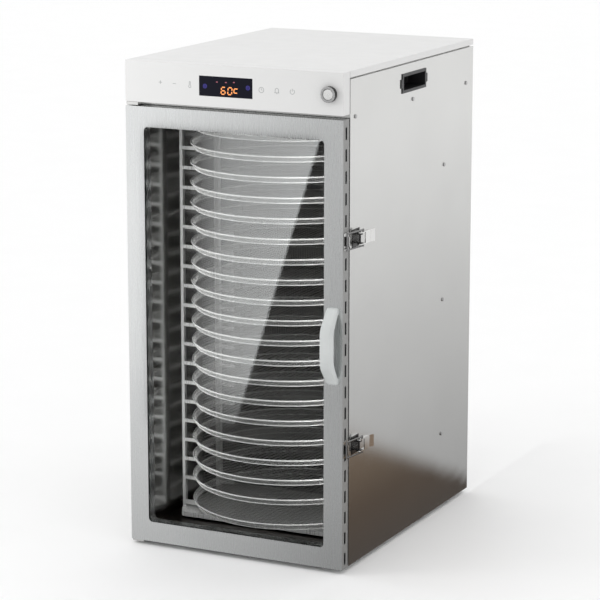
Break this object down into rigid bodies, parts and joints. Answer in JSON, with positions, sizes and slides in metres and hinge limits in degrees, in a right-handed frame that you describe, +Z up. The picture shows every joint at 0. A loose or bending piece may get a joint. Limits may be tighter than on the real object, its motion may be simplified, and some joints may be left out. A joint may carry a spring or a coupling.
{
  "type": "food dehydrator",
  "caption": "Tall steel cabinet food dehydrator with a glazed side-hinged door, touch-control fascia and a turning rack of round wire mesh trays.",
  "frame": {"origin": "middle of the whole object's footprint, handle and latches included, on the plane of the feet's soles", "axes": "+Z up, -Y out of the door, +X to the right of a person who faces the door"},
  "size_m": [0.4192, 0.573, 0.835],
  "materials": {
    "casing_steel": "satin brushed stainless sheet",
    "cavity_steel": "bright rolled stainless sheet",
    "fascia_enamel": "smooth pale enamel",
    "door_steel": "satin brushed stainless",
    "glass": "clear tempered glass",
    "gasket_rubber": "matt silicone",
    "handle_plastic": "smooth light grey moulding",
    "chrome": "polished plated steel",
    "black_plastic": "fine textured moulding",
    "display_black": "glossy smoked window",
    "board_green": "printed circuit board",
    "button_metal": "turned metal",
    "motor_grey": "satin",
    "bronze": "sintered bush",
    "heater_sheath": "heat-tinted tube",
    "foot_rubber": "matt",
    "screw_steel": "plated",
    "rack_steel": "stainless sheet",
    "tray_wire": "bright stainless wire mesh"
  },
  "bodies": {
    "cabinet": {"base_pan": "casing_steel", "left_side_panel": "casing_steel", "right_side_panel": "casing_steel", "back_panel": "casing_steel", "roof_lid": "fascia_enamel", "face_frame": "casing_steel", "cavity_ceiling": "cavity_steel", "cavity_floor": "cavity_steel", "rear_baffle": "cavity_steel", "control_fascia": "fascia_enamel", "display_lens": "display_black", "control_board": "board_green", "button_bezel": "button_metal", "rack_motor": "motor_grey", "rack_bearing": "bronze", "fan_motors": "motor_grey", "heater_elements": "heater_sheath", "power_inlet": "black_plastic", "pocket_handles": "black_plastic", "feet": "foot_rubber", "casing_screws": "screw_steel", "hinge_brackets": "casing_steel", "latch_bases": "chrome"},
    "door": {"door_frame": "door_steel", "door_inner_frame": "door_steel", "door_glass": "glass", "door_gasket": "gasket_rubber", "door_handle": "handle_plastic", "latch_keepers": "chrome"},
    "rack": {"rack_left_combs": "rack_steel", "rack_right_combs": "rack_steel", "rack_top_plate": "rack_steel", "rack_bottom_plate": "rack_steel"},
    "power_button": {"power_button": "button_metal"},
    "fan_upper": {"fan_rotor_upper": "black_plastic"},
    "fan_lower": {"fan_rotor_lower": "black_plastic"},
    "latch_lever_upper": {"latch_lever_upper": "chrome"},
    "latch_lever_lower": {"latch_lever_lower": "chrome"},
    "latch_bail_upper": {"latch_bail_upper": "chrome"},
    "latch_bail_lower": {"latch_bail_lower": "chrome"},
    "tray_01": {"tray_01": "tray_wire"},
    "tray_02": {"tray_02": "tray_wire"},
    "tray_03": {"tray_03": "tray_wire"},
    "tray_04": {"tray_04": "tray_wire"},
    "tray_05": {"tray_05": "tray_wire"},
    "tray_06": {"tray_06": "tray_wire"},
    "tray_07": {"tray_07": "tray_wire"},
    "tray_08": {"tray_08": "tray_wire"},
    "tray_09": {"tray_09": "tray_wire"},
    "tray_10": {"tray_10": "tray_wire"},
    "tray_11": {"tray_11": "tray_wire"},
    "tray_12": {"tray_12": "tray_wire"},
    "tray_13": {"tray_13": "tray_wire"},
    "tray_14": {"tray_14": "tray_wire"},
    "tray_15": {"tray_15": "tray_wire"},
    "tray_16": {"tray_16": "tray_wire"},
    "tray_17": {"tray_17": "tray_wire"},
    "tray_18": {"tray_18": "tray_wire"},
    "tray_19": {"tray_19": "tray_wire"},
    "tray_20": {"tray_20": "tray_wire"}
  },
  "joints": [
    {"name": "door_hinge", "type": "hinge", "parent": "cabinet", "child": "door", "pos_m": [-0.19981, -0.2385, 0.383], "axis": [0, 0, -1], "range_deg": [0, 105]},
    {"name": "rack_turn", "type": "hinge", "parent": "cabinet", "child": "rack", "pos_m": [-0.00781, -0.0335, 0.383], "axis": [0, 0, 1], "continuous": true},
    {"name": "button_press", "type": "slide", "parent": "cabinet", "child": "power_button", "axis": [0, 1, 0], "range_m": [0, 0.0025], "stiffness_N_per_m": 900},
    {"name": "fan_upper_spin", "type": "hinge", "parent": "cabinet", "child": "fan_upper", "pos_m": [-0.00781, 0.1805, 0.568], "axis": [0, 1, 0], "continuous": true},
    {"name": "fan_lower_spin", "type": "hinge", "parent": "cabinet", "child": "fan_lower", "pos_m": [-0.00781, 0.1805, 0.238], "axis": [0, 1, 0], "continuous": true},
    {"name": "latch_upper_lever", "type": "hinge", "parent": "cabinet", "child": "latch_lever_upper", "pos_m": [0.20119, -0.2075, 0.561], "axis": [0, 0, -1], "range_deg": [0, 150]},
    {"name": "latch_upper_bail", "type": "hinge", "parent": "latch_lever_upper", "child": "latch_bail_upper", "pos_m": [0.20319, -0.1995, 0.561], "axis": [0, 0, -1], "range_deg": [-150, 0]},
    {"name": "latch_lower_lever", "type": "hinge", "parent": "cabinet", "child": "latch_lever_lower", "pos_m": [0.20119, -0.2075, 0.213], "axis": [0, 0, -1], "range_deg": [0, 150]},
    {"name": "latch_lower_bail", "type": "hinge", "parent": "latch_lever_lower", "child": "latch_bail_lower", "pos_m": [0.20319, -0.1995, 0.213], "axis": [0, 0, -1], "range_deg": [-150, 0]},
    {"name": "tray_01_slide", "type": "slide", "parent": "rack", "child": "tray_01", "axis": [0, -1, 0], "range_m": [0, 0.015]},
    {"name": "tray_02_slide", "type": "slide", "parent": "rack", "child": "tray_02", "axis": [0, -1, 0], "range_m": [0, 0.015]},
    {"name": "tray_03_slide", "type": "slide", "parent": "rack", "child": "tray_03", "axis": [0, -1, 0], "range_m": [0, 0.015]},
    {"name": "tray_04_slide", "type": "slide", "parent": "rack", "child": "tray_04", "axis": [0, -1, 0], "range_m": [0, 0.015]},
    {"name": "tray_05_slide", "type": "slide", "parent": "rack", "child": "tray_05", "axis": [0, -1, 0], "range_m": [0, 0.015]},
    {"name": "tray_06_slide", "type": "slide", "parent": "rack", "child": "tray_06", "axis": [0, -1, 0], "range_m": [0, 0.015]},
    {"name": "tray_07_slide", "type": "slide", "parent": "rack", "child": "tray_07", "axis": [0, -1, 0], "range_m": [0, 0.015]},
    {"name": "tray_08_slide", "type": "slide", "parent": "rack", "child": "tray_08", "axis": [0, -1, 0], "range_m": [0, 0.015]},
    {"name": "tray_09_slide", "type": "slide", "parent": "rack", "child": "tray_09", "axis": [0, -1, 0], "range_m": [0, 0.015]},
    {"name": "tray_10_slide", "type": "slide", "parent": "rack", "child": "tray_10", "axis": [0, -1, 0], "range_m": [0, 0.015]},
    {"name": "tray_11_slide", "type": "slide", "parent": "rack", "child": "tray_11", "axis": [0, -1, 0], "range_m": [0, 0.015]},
    {"name": "tray_12_slide", "type": "slide", "parent": "rack", "child": "tray_12", "axis": [0, -1, 0], "range_m": [0, 0.015]},
    {"name": "tray_13_slide", "type": "slide", "parent": "rack", "child": "tray_13", "axis": [0, -1, 0], "range_m": [0, 0.015]},
    {"name": "tray_14_slide", "type": "slide", "parent": "rack", "child": "tray_14", "axis": [0, -1, 0], "range_m": [0, 0.015]},
    {"name": "tray_15_slide", "type": "slide", "parent": "rack", "child": "tray_15", "axis": [0, -1, 0], "range_m": [0, 0.015]},
    {"name": "tray_16_slide", "type": "slide", "parent": "rack", "child": "tray_16", "axis": [0, -1, 0], "range_m": [0, 0.015]},
    {"name": "tray_17_slide", "type": "slide", "parent": "rack", "child": "tray_17", "axis": [0, -1, 0], "range_m": [0, 0.015]},
    {"name": "tray_18_slide", "type": "slide", "parent": "rack", "child": "tray_18", "axis": [0, -1, 0], "range_m": [0, 0.015]},
    {"name": "tray_19_slide", "type": "slide", "parent": "rack", "child": "tray_19", "axis": [0, -1, 0], "range_m": [0, 0.015]},
    {"name": "tray_20_slide", "type": "slide", "parent": "rack", "child": "tray_20", "axis": [0, -1, 0], "range_m": [0, 0.015]}
  ],
  "couplings": [
    {"joint": "latch_upper_bail", "follows": "latch_upper_lever", "ratio": -1},
    {"joint": "latch_lower_bail", "follows": "latch_lower_lever", "ratio": -1}
  ]
}
